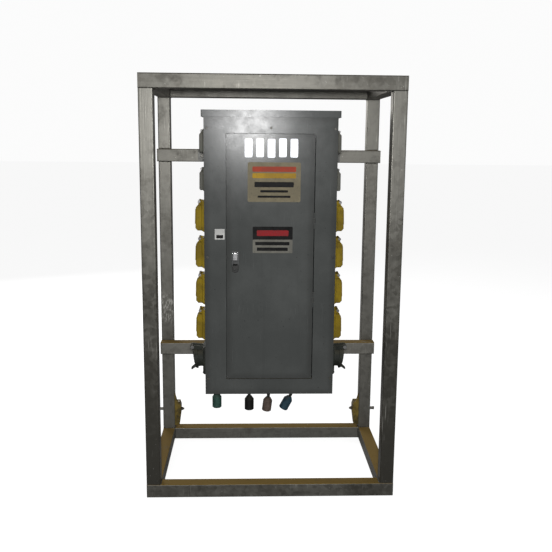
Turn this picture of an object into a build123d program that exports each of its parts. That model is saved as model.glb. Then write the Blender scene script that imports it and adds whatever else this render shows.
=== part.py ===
"""Portable power distribution box: a panelboard hung inside a welded cage of square tube.

The box has a hinged door over two columns of breakers, seven covered outlets down each side and
four single-pole cam connectors under its floor. Millimetres, +Z up, front towards -Y. The origin is
the middle of the cage's footprint on the floor.
"""

import os
from math import cos, radians, sin

from build123d import *

INCH = 25.4

# Cage of welded square tube
CAGE_WIDTH = 36 * INCH
CAGE_DEPTH = 24 * INCH
CAGE_HEIGHT = 60 * INCH
TUBE = 2 * INCH
TUBE_WALL = 3.2
TUBE_CORNER = 4.0
RAIL_HEIGHTS = (427.0, 1240.6)  # middles of the two rails that carry the box

# Box of folded sheet
BOX_WIDTH = 20 * INCH
BOX_FRONT = -28.0
BOX_FLOOR = 304.0
BOX_TOP = 1413.0
SHEET = 2.0
EAR = 4.0  # thickness of the ears between the box and the rails
HOOD_OVERHANG = 9.5
HOOD_SKIRT = 23.5
TRIM_TOP = 1388.0
FLANGE = 22.0  # width of the box's front flange
TOP_FLANGE = 75.0

# Door and the recess behind it
DOOR_WIDTH = 335.5
DOOR_LEFT = -168.5
DOOR_FLOOR = 369.0
DOOR_TOP = 1327.0
DOOR_GAP = 2.5
DOOR_FLANGE = 12.0
RECESS_BACK = 8.0
HINGE_X = 169.5
HINGE_HEIGHTS = (690.0, 1000.0)
KNUCKLE = 3.2
KNUCKLE_LENGTH = 19.6
KNUCKLE_CLEARANCE = 0.5
LATCH_X = -135.0
LATCH_Z = 840.0

# Outlets, the same pitch down both sides: two duplex, four locking, one large
OUTLET_Y = 85.0
OUTLET_PITCH = 146.0
TOP_OUTLET_Z = 1300.0
DUPLEX_ROWS = (0, 1)
LOCKING_ROWS = (2, 3, 4, 5)
LARGE_ROW = 6
LOCKING_HINGE = (24.0, 57.0)  # out from the wall, up from the outlet's middle
DUPLEX_HINGE = (13.0, 39.0)
LARGE_DROP = 5.0  # the large outlets sit this much below the pitch of the rows above
LARGE_HINGE = (58.0, 53.0)
LARGE_AXIS_Z = 4.0
LARGE_TILT = 9.0  # the large lid's foot lies nearer the wall than its head

# Breakers
POLE = INCH
BREAKER_LENGTH = 75.0
BREAKER_FACE = 3.0
BREAKER_BACK = 70.0
BREAKER_TOP = 1030.0
SINGLE_ROWS = 4
TOGGLE_X = 45.0
TOGGLE_Y = 10.0
TOGGLE_LEAN = 17.5
MAIN_Z = 1185.0
MAIN_WIDTH = 110.0
MAIN_HEIGHT = 190.0
MAIN_LEAN = 20.0

# Cam connectors: place across the box, drop of the boot's top below the floor, lean of the tail
CAMS = {
    "green": (-213.5, 36.0, 0.0),
    "black": (-79.5, 46.0, 0.0),
    "brown": (1.0, 52.0, 7.0),
    "blue": (95.0, 50.0, 28.0),
}
CAM_Y = 85.0
TAIL_RADIUS = 6.5
TAIL_BEND = 38.0  # height below the floor where a leaning tail turns
BOOT_RADIUS = 19.0
BOOT_LENGTH = 59.0

# Strap hooks low on the rear posts
HOOK_BOLT_Z = 131.0
HOOK_WIDTH = 40.0

half_width = CAGE_WIDTH / 2
half_depth = CAGE_DEPTH / 2
tube_mid_x = half_width - TUBE / 2
tube_mid_y = half_depth - TUBE / 2
rail_front = half_depth - 2 * TUBE
box_half = BOX_WIDTH / 2
box_back = rail_front - EAR
trim_back = BOX_FRONT + SHEET
door_right = DOOR_LEFT + DOOR_WIDTH
recess_half = HINGE_X + 1.0
recess_floor = DOOR_FLOOR - DOOR_GAP
recess_top = DOOR_TOP + DOOR_GAP
TURNS = {"x": Rot(0, 90, 0), "y": Rot(90, 0, 0), "z": Rot(0, 0, 0)}


def along(axis, distance):
    """The move of that distance along one axis."""
    return Pos(*[distance if axis == name else 0 for name in "xyz"])


def block(x, y, z):
    """A box between the two values given on each axis."""
    middle = [(low + high) / 2 for low, high in (x, y, z)]
    return Pos(*middle) * Box(*[high - low for low, high in (x, y, z)])


def rod(axis, radius, low, high):
    """A round bar about one axis through the origin."""
    return along(axis, (low + high) / 2) * TURNS[axis] * Cylinder(radius, high - low)


def prism(points, width):
    """A profile of (out, up) points, made that wide about the XZ plane."""
    return extrude(Plane.XZ * make_face(Polyline(*points, close=True)), amount=width / 2, both=True)


def square_tube(axis, low, high):
    """Square tube with rounded corners about one axis through the origin."""
    inner = TUBE - 2 * TUBE_WALL
    section = RectangleRounded(TUBE, TUBE, TUBE_CORNER) - RectangleRounded(inner, inner, TUBE_CORNER / 2)
    return along(axis, (low + high) / 2) * TURNS[axis] * extrude(section, amount=(high - low) / 2, both=True)


def hex_bolt(across, head, radius, length):
    """A bolt up the Z axis: its head hangs below the origin and its shank stands on it."""
    flats = extrude(RegularPolygon(across / 2, 6, major_radius=False), amount=-head)
    return chamfer(flats.faces().sort_by(Axis.Z)[0].edges(), head / 8) + rod("z", radius, 0, length)


def save(name, *shapes):
    """Writes one node, with each shape as its own solid."""
    solids = [solid for shape in shapes for solid in shape.solids()]
    export_step(Compound(children=solids) if len(solids) > 1 else solids[0], f"parts/{name}.step")


# Cage ---------------------------------------------------------------------------------------------


def hook_bolt_hole():
    return Pos(0, 0, HOOK_BOLT_Z) * rod("x", 4.8, -TUBE, TUBE)


def posts():
    """Four uprights between the base ring and the top ring. The hook bolts pass through the rear two."""
    made = []
    for x in (-tube_mid_x, tube_mid_x):
        upright = square_tube("z", TUBE, CAGE_HEIGHT - TUBE)
        made += [Pos(x, -tube_mid_y, 0) * upright, Pos(x, tube_mid_y, 0) * (upright - hook_bolt_hole())]
    return made


def ring(axis):
    """The four rails that run along one axis, two in the base ring and two in the top ring."""
    made = []
    for z in (TUBE / 2, CAGE_HEIGHT - TUBE / 2):
        for side in (-1, 1):
            if axis == "x":
                made.append(Pos(0, side * tube_mid_y, z) * square_tube("x", -half_width, half_width))
            else:
                reach = half_depth - TUBE
                made.append(Pos(side * tube_mid_x, 0, z) * square_tube("y", -reach, reach))
    return made


def ear_bolt_places():
    """Middles of the eight bolts that hold the box to its rails: four outside it and four inside."""
    return [(side * x, z, x) for z in RAIL_HEIGHTS for side in (-1, 1) for x in (238.0, 272.0)]


def mount_rails():
    """Two rails across the fronts of the rear posts, drilled for the ear bolts."""
    rails = []
    for height in RAIL_HEIGHTS:
        rail = Pos(0, rail_front + TUBE / 2, height) * square_tube("x", -half_width, half_width)
        for x, z, _ in ear_bolt_places():
            if z == height:
                rail -= Pos(x, 0, z) * rod("y", 5.3, rail_front - 1, rail_front + TUBE / 2)
        rails.append(rail)
    return rails


def end_plugs():
    """Plastic plugs in the open ends of every rail that runs across the cage."""
    inner = TUBE - 2 * TUBE_WALL - 0.6
    plug = block((-3, 0), (-inner / 2, inner / 2), (-inner / 2, inner / 2))
    plug = rod("x", inner / 2 - 3, -18, -3) + chamfer(plug.edges().filter_by(Axis.X), 2)
    places = [(y, z) for y in (-tube_mid_y, tube_mid_y) for z in (TUBE / 2, CAGE_HEIGHT - TUBE / 2)]
    places += [(rail_front + TUBE / 2, z) for z in RAIL_HEIGHTS]
    made = []
    for y, z in places:
        made += [Pos(half_width, y, z) * plug, Pos(-half_width, y, z) * Rot(0, 0, 180) * plug]
    return made


def mounting_ears():
    """Four plates between the back of the box and the rails, standing out past the box's sides."""
    made = []
    for height in RAIL_HEIGHTS:
        for side in (-1, 1):
            ear = block((222, 290), (box_back, rail_front), (height - 21.5, height + 21.5))
            ear = ear if side > 0 else Rot(0, 0, 180) * Pos(0, -box_back - rail_front, 0) * ear
            for x, z, _ in ear_bolt_places():
                if z == height and x * side > 0:
                    ear -= Pos(x, 0, z) * rod("y", 5.3, box_back - 1, rail_front + 1)
            made.append(ear)
    return made


def strap_hook():
    """A folded bracket with a front cheek. X counts inwards from the left rear post's inner face."""
    outer = [(0, 167), (22, 167), (27.5, 150), (27.5, 121), (19.5, 62)]
    inner = [(14.5, 62), (22.5, 121), (22.5, 149), (18.5, 162), (0, 162)]
    cheek = [(0, 208), (3, 208), (13, 169), (20, 166), (25, 149), (25, 121), (17, 62), (0, 62)]
    bracket = prism(outer + inner, HOOK_WIDTH) + Pos(0, 2.5 - HOOK_WIDTH / 2, 0) * prism(cheek, 5)
    return bracket - Pos(0, 0, HOOK_BOLT_Z) * rod("x", 4.8, 10, 30)


def hook_hardware():
    """The hook's bolt with its sleeve outside the post, its spacer inside and its nut."""
    bolt = Pos(-TUBE - 15, 0, 0) * Rot(0, 90, 0) * hex_bolt(13.0, 6.0, 4.5, TUBE + 55)
    sleeve = rod("x", 6.2, -TUBE - 15, -TUBE) - rod("x", 4.8, -TUBE - 16, -TUBE + 1)
    spacer = rod("x", 7.5, 0, 22.5) - rod("x", 4.8, -1, 24)
    nut = Pos(27.5, 0, 0) * Rot(0, 90, 0) * extrude(RegularPolygon(6.5, 6, major_radius=False), amount=7.0)
    nut -= rod("x", 4.55, 20, 40)
    return [Pos(0, 0, HOOK_BOLT_Z) * piece for piece in (bolt, sleeve, spacer, nut)]


def on_rear_posts(shape):
    """A shape counted inwards from a rear post's inner face, on the left post and mirrored on the right."""
    left = Pos(TUBE - half_width, tube_mid_y, 0) * shape
    return [left, mirror(left, about=Plane.YZ)]


def cage_bolts():
    """Ear bolts, from in front of the ears or from inside the box, and the hook bolts."""
    made = []
    for x, z, out in ear_bolt_places():
        seat = box_back if out > box_half else box_back - SHEET
        made.append(Pos(x, seat, z) * Rot(-90, 0, 0) * hex_bolt(16.0, 6.4, 5.0, 30))
    return made + [piece for part in hook_hardware() for piece in on_rear_posts(part)]


# Box ----------------------------------------------------------------------------------------------


def outlet_height(row):
    return TOP_OUTLET_Z - row * OUTLET_PITCH - (LARGE_DROP if row == LARGE_ROW else 0)


def on_sides(shape, row):
    """A shape modelled out from a wall at X = 0, set at one row of the left side and of the right."""
    height = outlet_height(row)
    left = Pos(-box_half, OUTLET_Y, height) * Rot(0, 0, 180) * shape
    return [left, Pos(box_half, OUTLET_Y, height) * shape]


def screw_places():
    """Cover screws: three down each side and one in the middle of the top."""
    return [(x, z) for x in (-243.0, 243.0) for z in (368.6, 857.0, 1348.0)] + [(0.0, 1350.0)]


def enclosure_box():
    """Open-fronted box with a flange round its mouth, cut for the outlets, tails, bolts and screws."""
    width, back = (-box_half, box_half), (trim_back, box_back)
    box = block(width, back, (BOX_FLOOR, BOX_TOP))
    box -= block(
        (-box_half + SHEET, box_half - SHEET), (trim_back + SHEET, box_back - SHEET),
        (BOX_FLOOR + SHEET, BOX_TOP - SHEET),
    )
    box -= block(
        (-box_half + FLANGE, box_half - FLANGE), (trim_back - 1, trim_back + SHEET + 1),
        (BOX_FLOOR + FLANGE, BOX_TOP - TOP_FLANGE),
    )
    cuts = {row: block((-5, 5), (-34.5, 34.5), (-17.5, 17.5)) for row in DUPLEX_ROWS}
    cuts |= {row: rod("x", 26, -5, 5) for row in LOCKING_ROWS}
    cuts[LARGE_ROW] = Pos(0, 0, LARGE_AXIS_Z) * rod("x", 27, -5, 5)
    for row, cut in cuts.items():
        for hole in on_sides(cut, row):
            box -= hole
    for x, _, _ in CAMS.values():
        box -= Pos(x, CAM_Y, BOX_FLOOR) * rod("z", 10.2, -5, 5)
    for x, z, out in ear_bolt_places():
        if out < box_half:
            box -= Pos(x, 0, z) * rod("y", 5.3, box_back - 5, box_back + 1)
    for x, z in screw_places():
        box -= Pos(x, 0, z) * rod("y", 2.7, trim_back - 1, trim_back + 5)
    return box


def rain_hood():
    """Folded cap over the top, with skirts that throw rain clear of the front and both sides."""
    out = box_half + HOOD_OVERHANG
    front = BOX_FRONT - HOOD_OVERHANG
    hood = block((-out, out), (front, box_back), (BOX_TOP - HOOD_SKIRT, BOX_TOP + SHEET))
    hood = chamfer(hood.edges().filter_by(Axis.Z).sort_by(Axis.Y)[:2], 3)
    return hood - block(
        (-out + SHEET, out - SHEET), (front + SHEET, box_back + 1), (BOX_TOP - HOOD_SKIRT - 1, BOX_TOP)
    )


def door_knuckle(middle_z, lift):
    return Pos(HINGE_X, BOX_FRONT - 0.5, middle_z + lift) * Cylinder(KNUCKLE, KNUCKLE_LENGTH)


def knuckle_notch(middle_z, left, right):
    """Room in one leaf for the other leaf's knuckle."""
    reach = KNUCKLE_LENGTH / 2 + KNUCKLE_CLEARANCE
    return block((left, right), (BOX_FRONT - 5, BOX_FRONT + 6), (middle_z - reach, middle_z + reach))


def pin_hole(middle_z):
    return Pos(HINGE_X, BOX_FRONT - 0.5, middle_z) * Cylinder(1.65, 80)


def cover_trim():
    """Front cover: a flat frame with a folded recess round the door, and the outer hinge knuckles."""
    frame = block((-box_half, box_half), (BOX_FRONT, trim_back), (BOX_FLOOR, TRIM_TOP))
    frame += block(
        (-recess_half - SHEET, recess_half + SHEET), (BOX_FRONT, RECESS_BACK),
        (recess_floor - SHEET, recess_top + SHEET),
    )
    frame -= block(
        (-recess_half, recess_half), (BOX_FRONT - 1, RECESS_BACK + 1), (recess_floor, recess_top)
    )
    for side in (-1, 1):
        ends = sorted((side * (recess_half + 3), side * (box_half + 1)))
        frame -= block(ends, (BOX_FRONT - 1, BOX_FRONT + 0.6), (1306.2, 1307.8))
    for x, z in screw_places():
        frame -= Pos(x, 0, z) * rod("y", 2.7, BOX_FRONT - 1, trim_back + 1)
    for z in HINGE_HEIGHTS:
        frame -= knuckle_notch(z, HINGE_X, HINGE_X + KNUCKLE + KNUCKLE_CLEARANCE)
        for lift in (-20, 20):
            low, high = z + lift - KNUCKLE_LENGTH / 2, z + lift + KNUCKLE_LENGTH / 2
            frame += door_knuckle(z, lift) + block((HINGE_X, 177), (BOX_FRONT - 2, trim_back), (low, high))
        frame -= pin_hole(z)
    return frame


def door_panel():
    """Flat door with a return flange all round, the middle hinge knuckles and the latch cut-outs."""
    left, right, floor, top = DOOR_LEFT, door_right, DOOR_FLOOR, DOOR_TOP
    door = block((left, right), (BOX_FRONT, BOX_FRONT + DOOR_FLANGE), (floor, top))
    door -= block(
        (left + SHEET, right - SHEET), (trim_back, BOX_FRONT + DOOR_FLANGE + 1), (floor + SHEET, top - SHEET)
    )
    for z in HINGE_HEIGHTS:
        for lift in (-20, 20):
            door -= knuckle_notch(z + lift, HINGE_X - KNUCKLE - KNUCKLE_CLEARANCE, HINGE_X)
        low, high = z - KNUCKLE_LENGTH / 2, z + KNUCKLE_LENGTH / 2
        door += door_knuckle(z, 0) + block((162, HINGE_X), (BOX_FRONT - 2, trim_back), (low, high))
        door -= pin_hole(z)
    for half, low, high in ((12.5, -4.5, 42.5), (11, -36.5, -4)):
        cut = block((-half, half), (-1, SHEET + 1), (low, high))
        door -= at_latch(cut)
    return door - at_latch(block((-34.5, -30), (8, 17), (11, 25)))


def cover_screw():
    """A pan-head screw up the Z axis, with a cross recess."""
    head = chamfer(Cylinder(4.5, 2.5).edges().sort_by(Axis.Z)[0], 0.8)
    for turn in (0, 90):
        head -= Rot(0, 0, turn) * Pos(0, 0, -1.25) * Box(5.5, 0.9, 1.6)
    return Pos(0, 0, -1.25) * head + rod("z", 2.4, 0, 16)


def cover_screws():
    return [Pos(x, BOX_FRONT, z) * Rot(-90, 0, 0) * cover_screw() for x, z in screw_places()]


# Latch, modelled about its middle on the door's front face -------------------------------------------

LATCH_PIVOT = (1.0, 31.0)  # in from the door's face, up from the latch's middle


def at_latch(shape):
    return Pos(LATCH_X, BOX_FRONT, LATCH_Z) * shape


def latch_housing():
    """Bezel that narrows downwards, with a body behind it for the paddle, the fingers and the tongue."""
    outline = Polyline((-15.5, 43), (15.5, 43), (15.5, -2), (11, -43), (-11, -43), (-15.5, -2), close=True)
    bezel = fillet((Plane.XZ * make_face(outline)).vertices(), 9)
    bezel = extrude(bezel, amount=2.4)
    bezel = chamfer(bezel.faces().sort_by(Axis.Y)[0].edges(), 1.2)
    body = block((-12, 12), (0, 18), (-4, 42)) + block((-10.5, 10.5), (0, 15), (-36, -4))
    upper = block((-10.2, 10.2), (-4, 7), (0, 39.2))
    upper = fillet(upper.edges().filter_by(Axis.Y).sort_by(Axis.Z)[-2:], 6.5)
    scoop = Rot(0, 0, 90) * prism([(-4, 0.5), (3.5, 0.5), (3.5, -9), (11, -17), (11, -34), (-4, -34)], 18)
    scoop = fillet(scoop.edges().filter_by(Axis.Y).sort_by(Axis.Z)[:2], 7)
    pivot, height = LATCH_PIVOT
    axle_hole = Pos(0, pivot, height) * rod("x", 1.65, -11.9, 11.9)
    return bezel + body - upper - scoop - block((-13, 13), (8.3, 13.7), (12, 24)) - axle_hole


def latch_handle():
    """Lift paddle on two stub axles. Fingers go under its lower edge and pull it out."""
    pivot, height = LATCH_PIVOT
    paddle = Pos(0, -1.2, 0) * prism([(-9.5, 5), (9.5, 5), (9.5, 35.5), (-9.5, 35.5)], 8)
    paddle = fillet(paddle.edges().filter_by(Axis.Y).sort_by(Axis.Z)[-2:], 6)
    paddle = fillet(paddle.edges().filter_by(Axis.Y).sort_by(Axis.Z)[:2], 3)
    paddle = fillet(paddle.faces().sort_by(Axis.Y)[0].edges(), 2.4)
    return paddle + Pos(0, pivot, height) * rod("x", 1.5, -11.7, 11.7)


def latch_tongue():
    """Flat tongue that the paddle draws back, bevelled at the tip that meets the recess wall."""
    tongue = block((-34, 5), (8.8, 13.2), (13, 23))
    return chamfer(tongue.edges().filter_by(Axis.Z).sort_by(Axis.X)[:2].sort_by(Axis.Y)[-1], 3)


# Inside the box -------------------------------------------------------------------------------------


def breaker_rows():
    """(top, bottom) of each branch breaker in a column: single poles, then one of two poles."""
    edges = [BREAKER_TOP - POLE * row for row in range(SINGLE_ROWS + 1)]
    return list(zip(edges, edges[1:])) + [(edges[-1], edges[-1] - 2 * POLE)]


def breaker_cases():
    """Ten branch breakers in two columns and the main breaker over them."""
    cases = []
    for side in (-1, 1):
        for top, bottom in breaker_rows():
            xs = sorted((side * 3.0, side * (3.0 + BREAKER_LENGTH)))
            case = block(xs, (BREAKER_FACE, BREAKER_BACK), (bottom + 0.3, top - 0.3))
            middle = (top + bottom) / 2
            xs = (side * TOGGLE_X - 12, side * TOGGLE_X + 12)
            case -= block(xs, (BREAKER_FACE - 1, TOGGLE_Y + 7), (middle - 5.5, middle + 5.5))
            cases.append(case)
    half, tall = MAIN_WIDTH / 2, MAIN_HEIGHT / 2
    main = block((-half, half), (BREAKER_FACE, BREAKER_BACK), (MAIN_Z - tall, MAIN_Z + tall))
    main -= block((-14, 14), (BREAKER_FACE - 1, TOGGLE_Y + 11), (MAIN_Z - 24, MAIN_Z + 24))
    return cases + [main]


def toggle(height, radius, reach, thick):
    """A breaker handle on a drum about the Z axis, its lever standing towards -Y."""
    lever = block((-thick / 2, thick / 2), (-reach, 0), (-height / 2, height / 2))
    lever = chamfer(lever.faces().sort_by(Axis.Y)[0].edges().filter_by(Axis.Z), thick / 4)
    return lever + Cylinder(radius, height)


def branch_toggles():
    """Each branch breaker's handle by name, leaning towards the centre line, which is on."""
    made = {}
    for side, word in ((-1, "left"), (1, "right")):
        for number, (top, bottom) in enumerate(breaker_rows(), 1):
            place = Pos(side * TOGGLE_X, TOGGLE_Y, (top + bottom) / 2)
            place *= Rot(0, 0, -side * TOGGLE_LEAN)
            made[f"breaker_toggle_{word}_{number}"] = place * toggle(10, 6, 23, 5)
    return made


def main_toggle():
    """The main breaker's wider handle, turned to swing up and down, leaning up, which is on."""
    return Pos(0, TOGGLE_Y, MAIN_Z) * Rot(-MAIN_LEAN, 0, 0) * Rot(0, 90, 0) * toggle(26, 10, 25, 9)


def dead_front():
    """Plate on the back of the recess with openings round the breakers and rows of closed blanks."""
    plate = block(
        (-recess_half - SHEET, recess_half + SHEET), (RECESS_BACK, RECESS_BACK + SHEET),
        (recess_floor - SHEET, recess_top + SHEET),
    )
    floor = breaker_rows()[-1][1]
    reach = BREAKER_LENGTH + 4
    plate -= block((-reach, reach), (RECESS_BACK - 1, RECESS_BACK + 3), (floor - 1, BREAKER_TOP + 1))
    half, tall = MAIN_WIDTH / 2 + 1, MAIN_HEIGHT / 2 + 1
    plate -= block((-half, half), (RECESS_BACK - 1, RECESS_BACK + 3), (MAIN_Z - tall, MAIN_Z + tall))
    for row in range(1, 13):
        z = floor - 12 - row * POLE
        for side in (-1, 1):
            xs = sorted((side * 5, side * reach))
            plate -= block(xs, (RECESS_BACK - 1, RECESS_BACK + 0.7), (z, z + 1.2))
    return plate


def interior_base():
    """Moulded base that carries the bus bars and breakers, on two legs to the back of the box."""
    base = block((-150, 150), (BREAKER_BACK + 5, BREAKER_BACK + 11), (520, 1320))
    for side in (-1, 1):
        xs = sorted((side * 146.0, side * 150.0))
        base += block(xs, (BREAKER_BACK + 11, box_back - SHEET), (520, 1320))
    return base


def bus_bars():
    """Three phase bars behind the breakers and a neutral and an earth bar with their screws."""
    bars = [block((x - 8, x + 8), (BREAKER_BACK, BREAKER_BACK + 5), (560, 1200)) for x in (-30, 0, 30)]
    for x in (-125, 125):
        bar = block((x - 7, x + 7), (BREAKER_BACK - 9, BREAKER_BACK + 5), (640, 1000))
        for step in range(14):
            bar += Pos(x, 0, 660 + 24 * step) * rod("y", 4, BREAKER_BACK - 12, BREAKER_BACK - 9)
        bars.append(bar)
    return bars


# Outlets, modelled out from a wall at X = 0 with Z = 0 at the outlet's middle ---------------------------


def eared(plate, profile, width, hinge, hole):
    """Adds two hinge ears of one profile to an outlet's frame, bored for the hinge pin."""
    inner, outer = width
    for side in (-1, 1):
        plate += Pos(0, side * (inner + outer) / 2, 0) * prism(profile, outer - inner)
    out, up = hinge
    return plate - Pos(out, 0, up) * rod("y", hole, -outer - 1, outer + 1)


def hinged(lid, neck, knuckle, half, hinge, hole):
    """Adds the neck and knuckle that hang a lid between its frame's ears."""
    out, up = hinge
    low, high, root = neck
    lid += block((low, high), (-half, half), (root, up))
    lid += Pos(out, 0, up) * rod("y", knuckle, -half, half)
    return lid - Pos(out, 0, up) * rod("y", hole, -half - 1, half + 1)


def locking_frame():
    plate = prism([(0, 62), (6, 62), (15, 56), (15, -56), (6, -62), (0, -62)], 78)
    plate = chamfer(plate.faces().sort_by(Axis.X)[-1].edges().filter_by(Axis.Z), 3)
    plate -= rod("x", 25.5, -1, 16)
    ear = [(9, 46), (14.9, 44.5), (27, 52), (28.5, 58), (24, 62), (9, 60)]
    return eared(plate, ear, (24, 31), LOCKING_HINGE, 2.05)


def locking_lid():
    """Deep flip lid with bevelled ends and finger notches low on both sides, hollow behind."""
    shell = prism([(15.4, 44), (29, 44), (37.5, 34), (39.5, -47), (31, -57), (15.4, -57)], 70)
    sides = [edge for edge in shell.edges() if abs(abs(edge.center().Y) - 35) < 0.01 and edge.center().X > 16]
    shell = chamfer(sides, 4)
    shell -= prism([(15, 40), (27, 40), (34, 32), (35.8, -45), (29, -53), (15, -53)], 62)
    for side in (-1, 1):
        shell -= Pos(18, side * 36, -44) * Box(9, 4, 13)
    return hinged(shell, (20.5, 28, 41), 5, 22, LOCKING_HINGE, 2.15)


def locking_outlet():
    """Round locking outlet with three curved blade slots in its face."""
    body = rod("x", 25, -42, 14)
    for turn in (90, 210, 330):
        slot = rod("x", 16, 6, 15) - rod("x", 13.2, 5, 16)
        slot &= Rot(turn, 0, 0) * Pos(0, 14.6, 0) * block((5, 16), (-4, 4), (-6, 6))
        body -= slot
    return body


def duplex_frame():
    plate = prism([(0, 46), (4, 46), (8, 42), (8, -42), (4, -46), (0, -46)], 116)
    plate = chamfer(plate.faces().sort_by(Axis.X)[-1].edges().filter_by(Axis.Z), 3)
    plate -= block((-1, 9), (-34, 34), (-17, 17))
    ear = [(4, 34), (7.9, 32.5), (15, 35), (17, 39), (13, 43), (4, 42)]
    return eared(plate, ear, (43, 49), DUPLEX_HINGE, 1.55)


def duplex_lid():
    """Shallow cast lid with bevelled ends, hollow behind."""
    shell = prism([(8.4, 30), (16, 30), (20.5, 24), (21, -38), (17, -43), (8.4, -43)], 108)
    sides = [edge for edge in shell.edges() if abs(abs(edge.center().Y) - 54) < 0.01 and edge.center().X > 9]
    shell = chamfer(sides, 3)
    shell -= prism([(8, 27.5), (15, 27.5), (18, 22.7), (18.4, -37), (16, -40.4), (8, -40.4)], 100)
    return hinged(shell, (10, 15.6, 28), 4, 41, DUPLEX_HINGE, 1.65)


def duplex_outlet():
    """Rectangular outlet with two sockets side by side and two small buttons between them."""
    body = block((-32, 9), (-33.5, 33.5), (-16.5, 16.5))
    for side in (-1, 1):
        for up in (-5, 5):
            body -= block((3, 10), (side * 21 - 5, side * 21 + 2), (up - 1, up + 1))
        body -= Pos(0, side * 21 + 6, 0) * rod("x", 2.4, 3, 10)
        body += block((8.9, 10.2), (side * 4 - 2.5, side * 4 + 2.5), (-6, 6))
    return body


def tilted(shape):
    """Turns a shape about the large lid's hinge so that its foot comes nearer the wall."""
    out, up = LARGE_HINGE
    return Pos(out, 0, up) * Rot(0, LARGE_TILT, 0) * Pos(-out, 0, -up) * shape


def large_frame():
    """Thin base on the wall with a round opening and two square hinge ears that clear the hood."""
    base = prism([(0, 60), (9, 60), (13, 56), (13, -48), (9, -52), (0, -52)], 104)
    base = chamfer(base.faces().sort_by(Axis.X)[-1].edges().filter_by(Axis.Z), 3)
    base -= Pos(0, 0, LARGE_AXIS_Z) * rod("x", 26.5, -1, 14)
    ear = [(9, 45), (34, 41), (44, 45.5), (63, 46), (66, 50), (66, 56), (62, 60), (56, 61), (9, 56)]
    frame = eared(base, ear, (13, 22), LARGE_HINGE, 3.05)
    frame -= Pos(0, 0, LARGE_AXIS_Z) * rod("x", 35.3, 13, 60)
    return frame - tilted(Pos(0, 0, LARGE_AXIS_Z) * rod("x", 39.3, 40, 52))


def large_hood():
    """Round hood on the base with a slanting rim, the cup that takes the plug."""
    hood = rod("x", 35, 13, 80) - rod("x", 30, 14, 80) - rod("x", 26.5, 12, 15)
    hood = Pos(0, 0, LARGE_AXIS_Z) * hood - tilted(block((47.9, 140), (-60, 60), (-120, 80)))
    rim = tilted(Pos(0, 0, LARGE_AXIS_Z) * rod("x", 39, 41, 47.9))
    return hood + (rim - Pos(0, 0, LARGE_AXIS_Z) * rod("x", 30, 14, 80))


def large_lid():
    """Round slanting lid with a stepped face, a flared thumb tab at the foot and a hinge arm."""
    disc = rod("x", 39, 48.4, 55) + rod("x", 33, 55, 59)
    disc = chamfer(disc.edges().filter_by(GeomType.CIRCLE).sort_by(Axis.X)[-1], 2)
    lid = Pos(0, 0, LARGE_AXIS_Z) * disc
    lid += prism([(49, -30), (57, -27), (62, -27), (78, -37), (76, -42), (60, -34), (49, -41)], 30)
    return hinged(tilted(lid), (49, 58, 38), 6.5, 12, LARGE_HINGE, 3.15)


def large_outlet():
    """Face of the large outlet, down in its cup, with four curved blade slots."""
    body = rod("x", 26, -38, 14) + rod("x", 29.7, 14, 20)
    for turn in (45, 135, 225, 315):
        slot = rod("x", 19, 10, 21) - rod("x", 15.6, 9, 22)
        body -= slot & Rot(turn, 0, 0) * Pos(0, 17.5, 0) * block((9, 22), (-4, 4), (-7, 7))
    return Pos(0, 0, LARGE_AXIS_Z) * body


def hinge_pin(hinge, radius, half, head):
    """A pin through an outlet's hinge with a round head outside each ear."""
    out, up = hinge
    pin = rod("y", radius, -half, half) + rod("y", head, half, half + 3) + rod("y", head, -half - 3, -half)
    return Pos(out, 0, up) * pin


def hinge_pins():
    """The door's two pins and one pin for each lid."""
    pins = [Pos(HINGE_X, BOX_FRONT - 0.5, z) * Cylinder(1.5, 60) for z in HINGE_HEIGHTS]
    sorts = [(row, DUPLEX_HINGE, 1.5, 49, 3) for row in DUPLEX_ROWS]
    sorts += [(row, LOCKING_HINGE, 2, 31, 5.5) for row in LOCKING_ROWS]
    sorts.append((LARGE_ROW, LARGE_HINGE, 3, 22, 7))
    for row, hinge, radius, half, head in sorts:
        pins += on_sides(hinge_pin(hinge, radius, half, head), row)
    return pins


# Cam connectors -----------------------------------------------------------------------------------------


def tail_ends(x, drop, lean):
    """Top of the boot and the unit vector down the tail there."""
    direction = Vector(-sin(radians(lean)), 0, -cos(radians(lean)))
    bend = Vector(x, CAM_Y, BOX_FLOOR - TAIL_BEND)
    if not lean:
        return Vector(x, CAM_Y, BOX_FLOOR - drop), direction
    return bend + direction * ((drop - TAIL_BEND) / cos(radians(lean))), direction


def cam_gland():
    """Locknut flange and dome nut that grip a tail where it leaves the floor of the box."""
    flange = extrude(RegularPolygon(17, 6, major_radius=False), amount=-6)
    dome = Pos(0, 0, -13) * Cone(10, 14, 14)
    return flange + dome + rod("z", 10, 0, 5) - rod("z", TAIL_RADIUS + 0.05, -30, 10)


def lead_tail(x, drop, lean):
    """Short rubber lead from inside the box down into its boot."""
    top, direction = tail_ends(x, drop, lean)
    start, end = Vector(x, CAM_Y, BOX_FLOOR + 20), top + direction * 20
    section = Plane(start, z_dir=(0, 0, -1)) * Circle(TAIL_RADIUS)
    if not lean:
        return extrude(section, amount=(start - end).length)
    path = FilletPolyline(start, Vector(x, CAM_Y, BOX_FLOOR - TAIL_BEND), end, radius=24)
    return sweep(section, path=path)


def along_tail(shape, x, drop, lean):
    """A shape made down from the origin, set with its origin at the boot's top."""
    top, _ = tail_ends(x, drop, lean)
    return Pos(*top) * Rot(0, lean, 0) * shape


def cam_contact():
    return chamfer(rod("z", 6.2, -46, -20).edges().sort_by(Axis.Z)[0], 1)


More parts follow.
